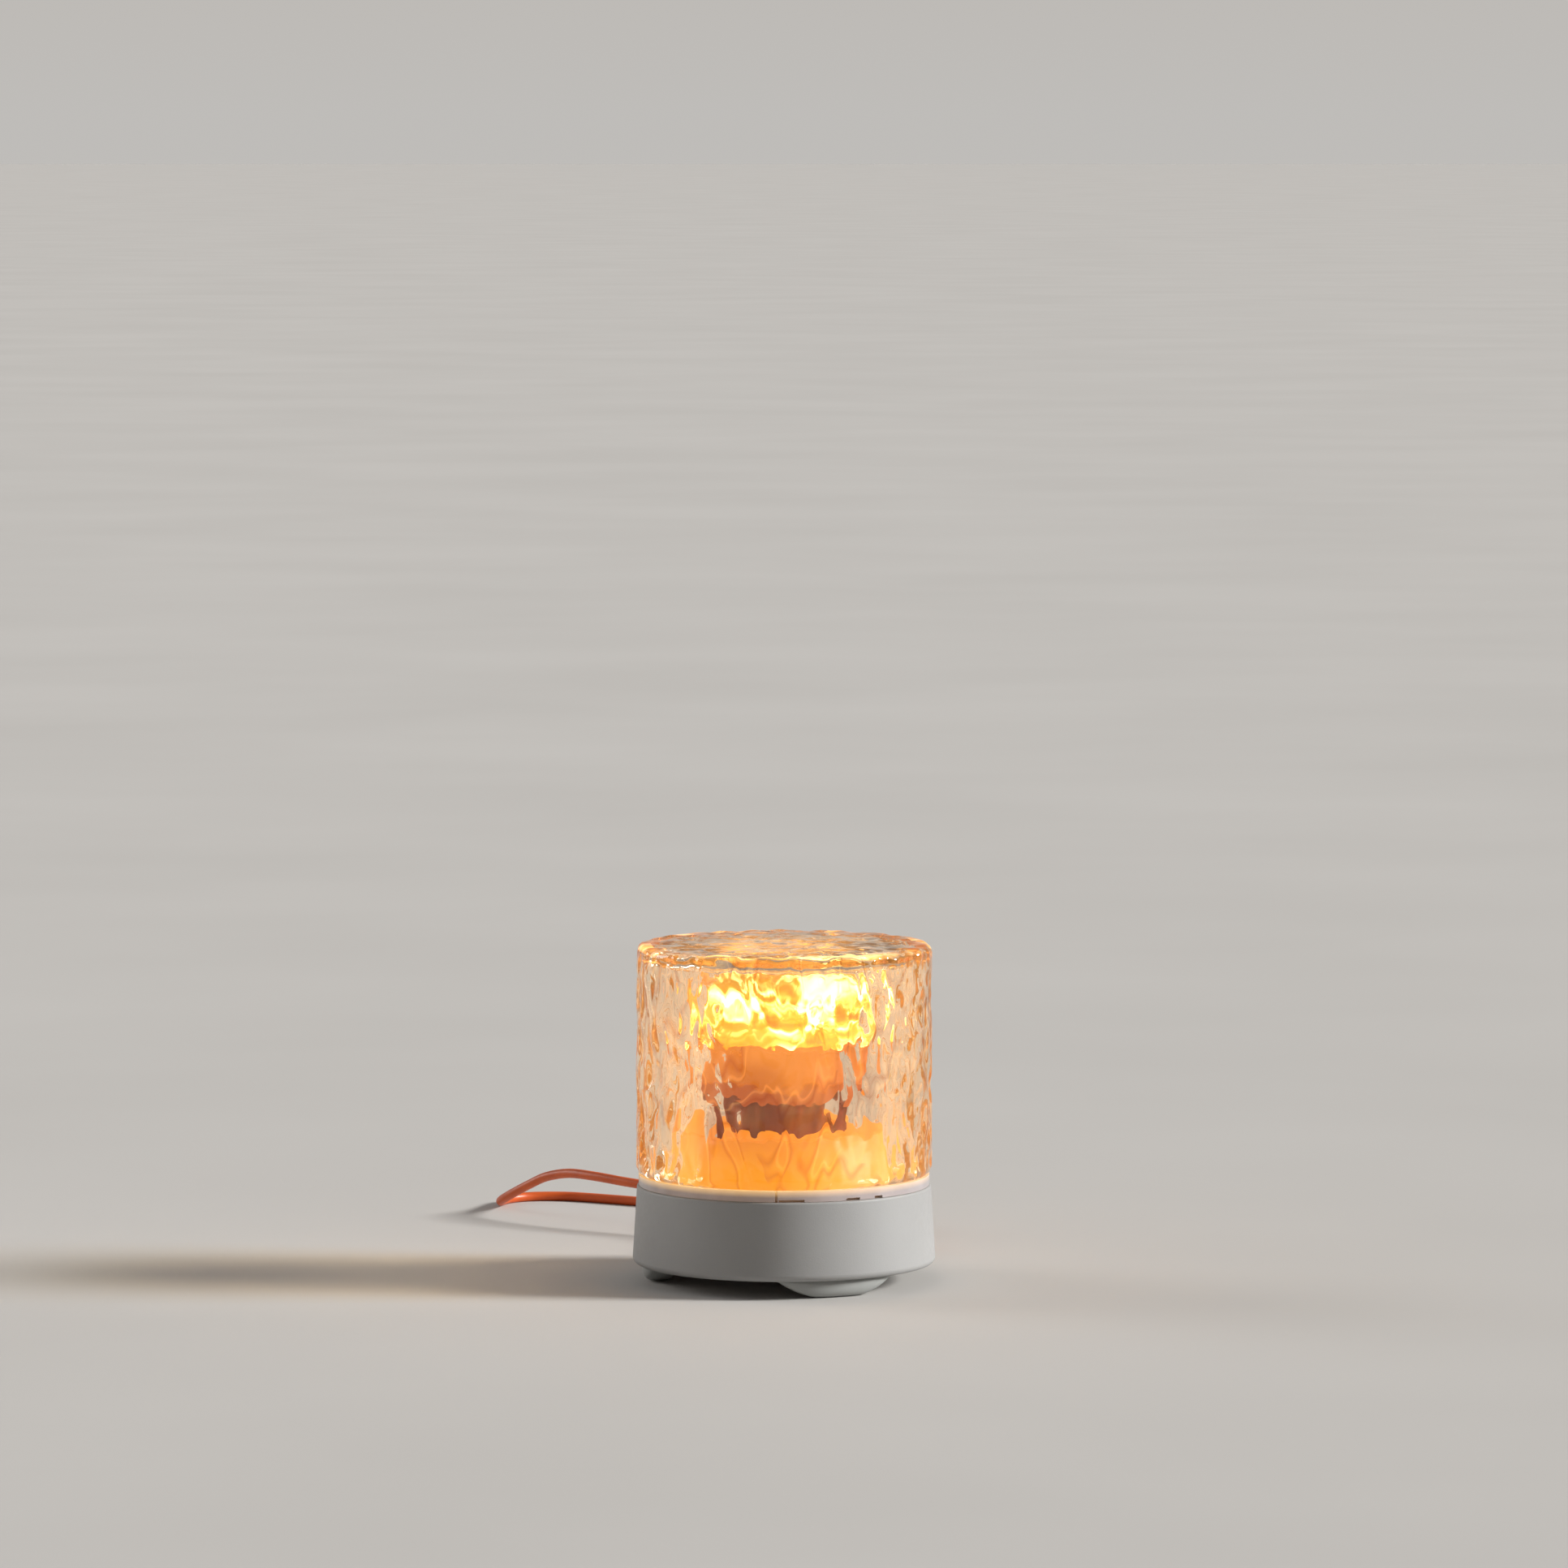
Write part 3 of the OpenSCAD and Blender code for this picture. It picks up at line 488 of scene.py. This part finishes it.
# The lamp's light on the inner faces: streaks down the wall, and clouds on the ceiling over the lens that
# fade between two distances from the middle.
def roomGlow(n, out, z, g, j):
    inRoom = n.times(n.maths("LESS_THAN", out, (j["wallRadius"] + 1) * mm),
                     n.maths("LESS_THAN", z, (j["ceiling"] + 1) * mm))
    near, far = g["lensReach"]
    overLens = n.times(n.remap(out, near * mm, far * mm, 1.0, 0.0),
                       n.maths("GREATER_THAN", z, (j["ceiling"] - 1) * mm))
    clouds = n.noise(g["ceilingScale"], 3, distortion=0.8)
    ceilingGlow = n.times(overLens, n.remap(clouds, 0.42, 0.58, *g["ceilingLight"]))
    streaks = n.noise(g["streakScale"], 3, vector=n.scaled(1, 1, g["streakStretch"]), distortion=0.6)
    return n.times(inRoom, n.plus(ceilingGlow, n.remap(streaks, 0.42, 0.62, *g["wallLight"])))


# A broken line of light along the shoulder: full at one height, gone a little above and below it.
def shoulderGlow(n, out, z, g, j):
    thin, wide = g["shoulderWidth"]
    band = n.remap(n.gap(z, (j["top"] - g["shoulderDrop"]) * mm), thin * mm, wide * mm, 1.0, 0.0)
    band = n.times(band, n.maths("GREATER_THAN", out, g["shoulderFrom"] * mm))
    return n.times(band, n.remap(n.noise(45, 3), 0.49, 0.6, *g["shoulderLight"]))


# Inside the glass: a warm tint by depth, and the amber light it catches.
def glassDepth(n, g):
    tint = n.add("ShaderNodeVolumeAbsorption", Color=g["warmTint"], Density=g["tintDensity"])
    caught = n.add("ShaderNodeEmission", Color=g["caughtColour"], Strength=g["caughtLight"])
    inside = n.add("ShaderNodeAddShader")
    n.feed(inside.inputs[0], tint.outputs["Volume"])
    n.feed(inside.inputs[1], caught.outputs["Emission"])
    n.feed(n.tree.nodes["Material Output"].inputs["Volume"], inside.outputs["Shader"])


# Light passes straight through to what lies behind, so that the glass's own shadow stays pale.
def paleShadow(n, g):
    through = n.add("ShaderNodeBsdfTransparent", Color=g["shadowTint"])
    mix = n.add("ShaderNodeMixShader")
    n.feed(mix.inputs["Fac"], n.add("ShaderNodeLightPath").outputs["Is Shadow Ray"])
    n.feed(mix.inputs[1], n.shader.outputs["BSDF"])
    n.feed(mix.inputs[2], through.outputs["BSDF"])
    n.feed(n.tree.nodes["Material Output"].inputs["Surface"], mix.outputs["Shader"])


# Pressed clear glass. Its own light is the sum of the lines on its drops, the light on its inner faces
# and the line along its shoulder; out is the distance from the axis, sqrt(x^2 + y^2).
def pressedGlass(g, j):
    n = Finish("ripple_glass")
    n.set(Roughness=0.0, IOR=1.5, Transmission_Weight=1.0, Specular_IOR_Level=0.35)
    x, y, z = (n.axis(letter) for letter in "XYZ")
    out = n.maths("SQRT", n.plus(n.times(x, x), n.times(y, y)))
    lines = n.plus(glassDrops(n, out, g), shoulderGlow(n, out, z, g, j))
    n.set(Emission_Color=g["glowColour"], Emission_Strength=n.plus(roomGlow(n, out, z, g, j), lines))
    glassDepth(n, g)
    paleShadow(n, g)
    return n.material


# The jar: its outer and inner faces, each closed by a fan at the axis, joined by a ring at the mouth.
def makeJar(j, g):
    cols = j["cols"]
    outer, inner = turnedPoints(*outerFace(j)), turnedPoints(*innerFace(j))
    outRows, inRows = len(outer) - 1, len(inner) - 1
    points = np.concatenate([outer[:-1].reshape(-1, 3), inner[1:].reshape(-1, 3),
                             outer[-1, :1], inner[0, :1]])
    nOut, nIn = outRows * cols, inRows * cols
    ring = np.arange(cols)
    after = (ring + 1) % cols
    lastIn = nOut + nIn - cols
    mouth = np.stack([lastIn + ring, lastIn + after, after, ring], axis=-1)
    faces = [gridQuads(outRows, cols), gridQuads(inRows, cols, first=nOut), mouth,
             fan(nOut + nIn, nOut - cols + ring), fan(nOut + nIn + 1, nOut + ring, flipped=True)]
    piece = putMesh("ripple_jar", points * mm, faces, pressedGlass(g, j))
    standIn(piece, "glass", "glass", "glass_shade")


makeJar(jar, glass)
print("jar made")

# each: own colour, the share of clouds in the mix, the heights it runs over and its values there, and the
# colours and strength of its painted light
# The deck's painted light is brightest low down, and darker and redder towards its top.
deckLook = dict(colour=(0.16, 0.055, 0.008, 1), roughness=0.45, strength=0.88,
                cloudScale=38, cloudShare=0.5, heights=(33, 51), levels=(0.15, 0.85),
                stops=[(0.2, (1.0, 0.4, 0.015)), (0.5, (1.0, 0.36, 0.005)), (0.85, (0.85, 0.23, 0.008))])
# The cup's painted light is dark below about 66 mm, painted shade along its lower edge, and grows brighter
# upwards.
cupLook = dict(colour=(0.1, 0.028, 0.005, 1), roughness=0.4, strength=0.8,
               cloudScale=60, cloudShare=0.1, heights=(62.5, 81), levels=(0.0, 1.0),
               stops=[(0.2, (0.5, 0.09, 0.01)), (0.25, (0.72, 0.175, 0.008)), (0.85, (0.84, 0.225, 0.009))])


# White plastic with amber lamp light painted on as its glow: the glow's colour runs over share clouds + (1
# - share) height.
def litPlastic(name, look):
    n = Finish(name)
    low, high = look["heights"]
    level = n.remap(n.axis("Z"), low * mm, high * mm, *look["levels"])
    clouds = n.times(n.noise(look["cloudScale"], 3), look["cloudShare"])
    mix = n.plus(clouds, n.times(level, 1 - look["cloudShare"]))
    n.set(Base_Color=look["colour"], Roughness=look["roughness"], Specular_IOR_Level=0.25)
    n.set(Emission_Color=n.ramp(mix, look["stops"]), Emission_Strength=look["strength"])
    n.bump(n.noise(900, 2), 0.2, 0.00003)
    return n.material


# Dark red-brown gloss with a slight orange peel, and a faint red glow that is a painted reflection of amber
# light.
def darkSleeve():
    n = Finish("dark_sleeve")
    n.set(Base_Color=n.ramp(n.noise(70, 3), [(0.35, (0.03, 0.005, 0.003)), (0.65, (0.14, 0.022, 0.006))]))
    n.set(Roughness=n.remap(n.noise(400, 3), 0.3, 0.7, 0.1, 0.18), Specular_IOR_Level=0.15)
    n.set(Emission_Color=(1.0, 0.14, 0.015, 1), Emission_Strength=0.1)
    n.bump(n.noise(160, 2), 0.15, 0.0001)
    return n.material


lens = dict(
    radius=30.4, bottom=81.0, top=105.9, dome=4.0, rounding=1.6, cols=240,
    sideRows=20, roundRows=5, domeRows=20,
    flutes=14, wave=0.8, swirl=0.4, ringPitch=0.9,
    under=[(18.0, 79.2), (22.6, 79.0), (22.6, 81.0), (29.2, 81.0), (30.2, 81.2)],  # radius and height
    # The lean makes the lens's painted light brighter from left to right.
    cloudScale=52, leanFrom=-30, leanTo=30, lean=(-0.05, 0.045),  # added to the clouds, left to right
    colours=[(0.38, (1.0, 0.3, 0.003)), (0.49, (1.0, 0.56, 0.02)), (0.6, (1.0, 0.84, 0.34))],
    glow=[(0.38, 0.13), (0.5, 0.23), (0.62, 1.0)], strength=4.6,
    dimFrom=98, dimTo=103, domeShare=0.45,  # heights between which the light falls to the dome's share
)


# Lit acrylic: clouds of white-hot light in amber, the dome on top dimmer than the side.
def litLens(c):
    n = Finish("lit_lens")
    lean = n.remap(n.axis("X"), c["leanFrom"] * mm, c["leanTo"] * mm, *c["lean"])
    cloud = n.plus(n.noise(c["cloudScale"], 3, vector=n.scaled(1, 1, 1.5), distortion=1.0), lean)
    n.set(Base_Color=(0.4, 0.16, 0.03, 1), Roughness=0.1, Emission_Color=n.ramp(cloud, c["colours"]))
    glow = n.ramp(cloud, [(at, (share, share, share)) for at, share in c["glow"]])
    side = n.remap(n.axis("Z"), c["dimFrom"] * mm, c["dimTo"] * mm, 1.0, c["domeShare"])
    n.set(Emission_Strength=n.times(n.times(glow, side), c["strength"]))
    n.bump(n.noise(120, 2), 0.3, 0.0004)
    return n.material


# Turning ripple lens: a drum whose side swings in and out as wave (1 + cos(flutes a + ...)) / 2, under a
# shallow dome with rings that swirl.
def makeLens(c):
    a = ringAngles(c["cols"])[None, :]
    rim = c["top"] - c["dome"] - c["rounding"]
    side = np.linspace(c["bottom"] + 0.6, rim, c["sideRows"])
    bend = np.radians(np.linspace(0, 75, c["roundRows"] + 1))[1:]
    outR = np.concatenate([np.full_like(side, c["radius"]),
                           c["radius"] - c["rounding"] + c["rounding"] * np.cos(bend)])[:, None]
    outZ = np.concatenate([side, rim + c["rounding"] * np.sin(bend)])[:, None]
    ripple = 0.5 + 0.5 * np.cos(c["flutes"] * a + 1.6 * np.sin(outZ * 0.35) + 0.9 * np.sin(3 * a))
    outR = outR - c["wave"] * ripple * np.clip((outZ - c["bottom"]) / 3, 0, 1)
    dome = np.linspace(0.93, 0, c["domeRows"])[:, None]
    domeR = c["radius"] * dome + 0 * a
    swirl = np.sin(domeR * c["ringPitch"] + 2 * np.sin(3 * a)) ** 2
    domeZ = c["top"] - c["dome"] * dome**2 - c["swirl"] * swirl * np.clip(domeR / 6, 0, 1)
    underR, underZ = (column[:, None] + 0 * a for column in np.array(c["under"]).T)
    rings = turnedPoints(np.vstack([underR, outR, domeR]), np.vstack([underZ, outZ + 0 * a, domeZ]))
    standIn(skin("wave_lens_drum", rings * mm, litLens(c)), "rotor", "lens_acrylic", "wave_lens")


makeLens(lens)
finishNodes(litPlastic("lit_deck", deckLook), "reflector_deck")
finishNodes(litPlastic("lit_cup", cupLook), "lens_carrier")
finishNodes(darkSleeve(), "rotor_sleeve")
print("tower finished")

feet = dict(
    angles=(-66, 54, 174), names=("foot_front", "foot_rear", "foot_left"),
    rIn=36.2, rOut=46.9, top=6.3, reach=20.2, flat=8.0, height=6.0,
    square=0.55, soften=0.15, narrowing=0.3,  # of its corners, of its landing, and of its ends
    cols=48, rows=61,
)


# A rocker foot: at u along it, its lowest line is the arc rockerH - sqrt(flat^2 + rockerH^2 - u^2), eased
# into the table at 0; its cross-section is a half superellipse, and it narrows a little to its ends.
def makeFeet(f):
    material = mouldedPlastic("foot_rubber", (0.34, 0.35, 0.34), 0.5, grain=1800, grainDepth=0.00003)
    turn = np.sin(np.linspace(-math.pi / 2, math.pi / 2, f["rows"]))[:, None]
    along = turn * f["reach"]
    rockerH = (f["reach"] ** 2 + f["height"] ** 2 - f["flat"] ** 2) / (2 * f["height"])
    arc = rockerH - np.sqrt(f["flat"] ** 2 + rockerH**2 - along**2)
    hang = np.clip(f["top"] - (arc + np.sqrt(arc**2 + f["soften"])) / 2, 0.01, f["top"])
    around = ringAngles(f["cols"])[None, :]
    c, s = -np.cos(around), np.sin(around)
    middle, half = (f["rOut"] + f["rIn"]) / 2, (f["rOut"] - f["rIn"]) / 2
    narrow = 1 - f["narrowing"] * turn**6
    radius = middle + half * narrow * np.sign(c) * np.abs(c) ** f["square"]
    below = np.clip(-s, 0, 1) ** f["square"]
    height = f["top"] - hang * below + 0 * c
    for name, angle in zip(f["names"], f["angles"]):
        a = math.radians(angle) + along / middle + 0 * c
        rings = np.stack([radius * np.cos(a), radius * np.sin(a), height], axis=-1)
        standIn(skin(name + "_pad", rings * mm, material), "base", "foot_rubber", name)


# Off-white matt housing with a fine spark-eroded grain.
def housingPlastic():
    n = Finish("housing_plastic")
    n.set(Base_Color=n.ramp(n.noise(25, 4), [(0.3, (0.325, 0.325, 0.323)), (0.7, (0.36, 0.36, 0.358))]))
    n.set(Roughness=n.remap(n.noise(500, 4), 0.3, 0.7, 0.46, 0.6), Specular_IOR_Level=0.4)
    n.bump(n.noise(2400, 3), 0.6, 0.00005)
    return n.material


collar = dict(glowFrom=33.5, glowTo=36.2, glow=0.6)


# Milky collar under the glass, faintly lilac; the light let through it grows with height.
def milkyCollar(c):
    n = Finish("collar_plastic")
    n.set(Base_Color=n.ramp(n.noise(140, 3), [(0.3, (0.5, 0.455, 0.47)), (0.7, (0.6, 0.555, 0.57))]))
    n.set(Roughness=0.28, Transmission_Weight=0.3, IOR=1.45, Coat_Weight=0.3)
    rise = n.remap(n.axis("Z"), c["glowFrom"] * mm, c["glowTo"] * mm, 0.0, c["glow"])
    n.set(Emission_Color=(1.0, 0.58, 0.16, 1), Emission_Strength=rise)
    n.bump(n.noise(300, 2), 0.25, 0.00008)
    return n.material


makeFeet(feet)
finishNodes(housingPlastic(), "base_housing", "power_button")
finishNodes(mouldedPlastic("cover_plastic", (0.42, 0.42, 0.41)), "bottom_cover")
finishNodes(milkyCollar(collar), "seat_collar")
finishNodes(cordSkin(), "strain_relief")
finishNodes(workedMetal("plug_steel", (0.75, 0.75, 0.76), 0.22, (1, 30, 1)), "plug_shell")
finishNodes(mouldedPlastic("tongue_white", (0.8, 0.8, 0.78)), "plug_tongue")
finishNodes(mouldedPlastic("tie_black", (0.02, 0.02, 0.02), 0.6), "cord_tie")
print("base finished")


# Clear acrylic of the small lens over the light source.
def clearAcrylic():
    n = Finish("condenser_acrylic")
    n.set(Base_Color=(1.0, 0.93, 0.8, 1), Roughness=0.04, IOR=1.49, Transmission_Weight=1.0)
    n.bump(n.noise(200, 2), 0.1, 0.0001)
    return n.material


# The light source itself: bright amber, a little uneven.
def litChip():
    n = Finish("led_amber")
    n.set(Base_Color=(1.0, 0.6, 0.1, 1), Roughness=0.3, Emission_Strength=6.0)
    n.set(Emission_Color=n.ramp(n.noise(400, 2), [(0.3, (1.0, 0.5, 0.06)), (0.7, (1.0, 0.66, 0.16))]))
    return n.material


finishNodes(workedMetal("screw_steel", (0.66, 0.67, 0.69), 0.32, (20, 1, 1)),
            "cover_screws", "deck_screws", "motor_screws", "board_screws", "carrier_screws", "post_nut")
finishNodes(workedMetal("aluminium", (0.74, 0.75, 0.76), 0.3, (1, 1, 25)), "led_post", "led_heatsink")
finishNodes(workedMetal("bearing_steel", (0.72, 0.73, 0.75), 0.14, (1, 1, 20)),
            "bearing_inner_race", "bearing_outer_race", "bearing_balls", "motor_shaft")
finishNodes(workedMetal("motor_can", (0.56, 0.57, 0.59), 0.28, (1, 1, 12)), "gear_motor")
finishNodes(mouldedPlastic("gear_acetal", (0.84, 0.8, 0.7), 0.35), "drive_gear", "pinion_gear")
finishNodes(mouldedPlastic("black_plastic", (0.025, 0.025, 0.028), 0.4),
            "lens_holder", "board_parts", "tact_switch")
finishNodes(mouldedPlastic("plunger_red", (0.55, 0.04, 0.02), 0.35), "switch_plunger")
finishNodes(mouldedPlastic("circuit_green", (0.01, 0.09, 0.035), 0.25, grain=900), "control_board")
finishNodes(mouldedPlastic("led_board_white", (0.8, 0.8, 0.78), 0.35), "led_board")
finishNodes(mouldedPlastic("lead_red", (0.42, 0.02, 0.015), 0.45), "led_leads")
finishNodes(mouldedPlastic("lead_black", (0.02, 0.02, 0.02), 0.45), "motor_leads", "power_leads")
finishNodes(clearAcrylic(), "condenser_lens")
finishNodes(litChip(), "led_emitter")
print("inside finished")

studio = dict(
    floorColour=((0.54, 0.525, 0.505), (0.57, 0.555, 0.535)), floorHalf=60.0,
    # name, azimuth from the front towards the right, elevation, strength, angular size, colour
    suns=[("key", 86, 25, 4.7, 14, (1.0, 0.99, 0.97)), ("rim", -112, 22, 0.9, 30, (1.0, 0.98, 0.96))],
    # height of the direction, from the horizon at 0 to the zenith at 1, and the sky's colour there
    sky=[(0.0, (0.52, 0.505, 0.485)), (0.12, (0.47, 0.41, 0.35)), (0.4, (0.26, 0.25, 0.24)),
         (1.0, (0.3, 0.3, 0.31))],
    frontShare=0.4, frontFade=(-0.7, 0.3),  # how bright the sky in front is, and where that fades
)


# A large plain floor with a fine grain, matt enough not to shine at the horizon.
def makeFloor(s):
    n = Finish("floor")
    n.set(Base_Color=n.ramp(n.noise(3, 3), [(0.3, s["floorColour"][0]), (0.7, s["floorColour"][1])]))
    n.set(Roughness=0.9, Specular_IOR_Level=0.05)
    n.bump(n.noise(700, 3), 0.2, 0.00005)
    half = s["floorHalf"]
    corners = np.array([[-half, -half, 0], [half, -half, 0], [half, half, 0], [-half, half, 0]])
    putMesh("floor", corners, [np.array([[0, 1, 2, 3]])], n.material, smooth=False)


# Soft suns, each turned to shine from its azimuth and elevation.
def makeSuns(s):
    for name, azimuth, elevation, strength, spread, colour in s["suns"]:
        data = bpy.data.lights.new(name, "SUN")
        data.energy, data.angle, data.color = strength, math.radians(spread), colour
        light = bpy.data.objects.new(name, data)
        light.rotation_euler = (math.radians(90 - elevation), 0, math.radians(azimuth))
        bpy.context.collection.objects.link(light)


# Plain sky that meets the floor's own tone at the horizon and is dimmer in front than behind.
def makeSky(s):
    world = bpy.data.worlds.new("studio")
    world.use_nodes = True
    tree = world.node_tree
    way = tree.nodes.new("ShaderNodeSeparateXYZ")
    tree.links.new(tree.nodes.new("ShaderNodeTexCoord").outputs["Generated"], way.inputs["Vector"])
    ramp = tree.nodes.new("ShaderNodeValToRGB")
    for at, colour in s["sky"][1:-1]:
        ramp.color_ramp.elements.new(at)
    for element, (at, colour) in zip(ramp.color_ramp.elements, s["sky"]):
        element.position, element.color = at, (*colour, 1)
    tree.links.new(way.outputs["Z"], ramp.inputs["Fac"])
    front = tree.nodes.new("ShaderNodeMapRange")
    limits = (*s["frontFade"], s["frontShare"], 1.0)
    for key, number in zip(("From Min", "From Max", "To Min", "To Max"), limits):
        front.inputs[key].default_value = number
    tree.links.new(way.outputs["Y"], front.inputs["Value"])
    tree.links.new(front.outputs["Result"], tree.nodes["Background"].inputs["Strength"])
    tree.links.new(ramp.outputs["Color"], tree.nodes["Background"].inputs["Color"])
    bpy.context.scene.world = world


makeFloor(studio)
makeSuns(studio)
makeSky(studio)
bpy.context.scene.view_settings.view_transform = "Standard"
print("studio set")
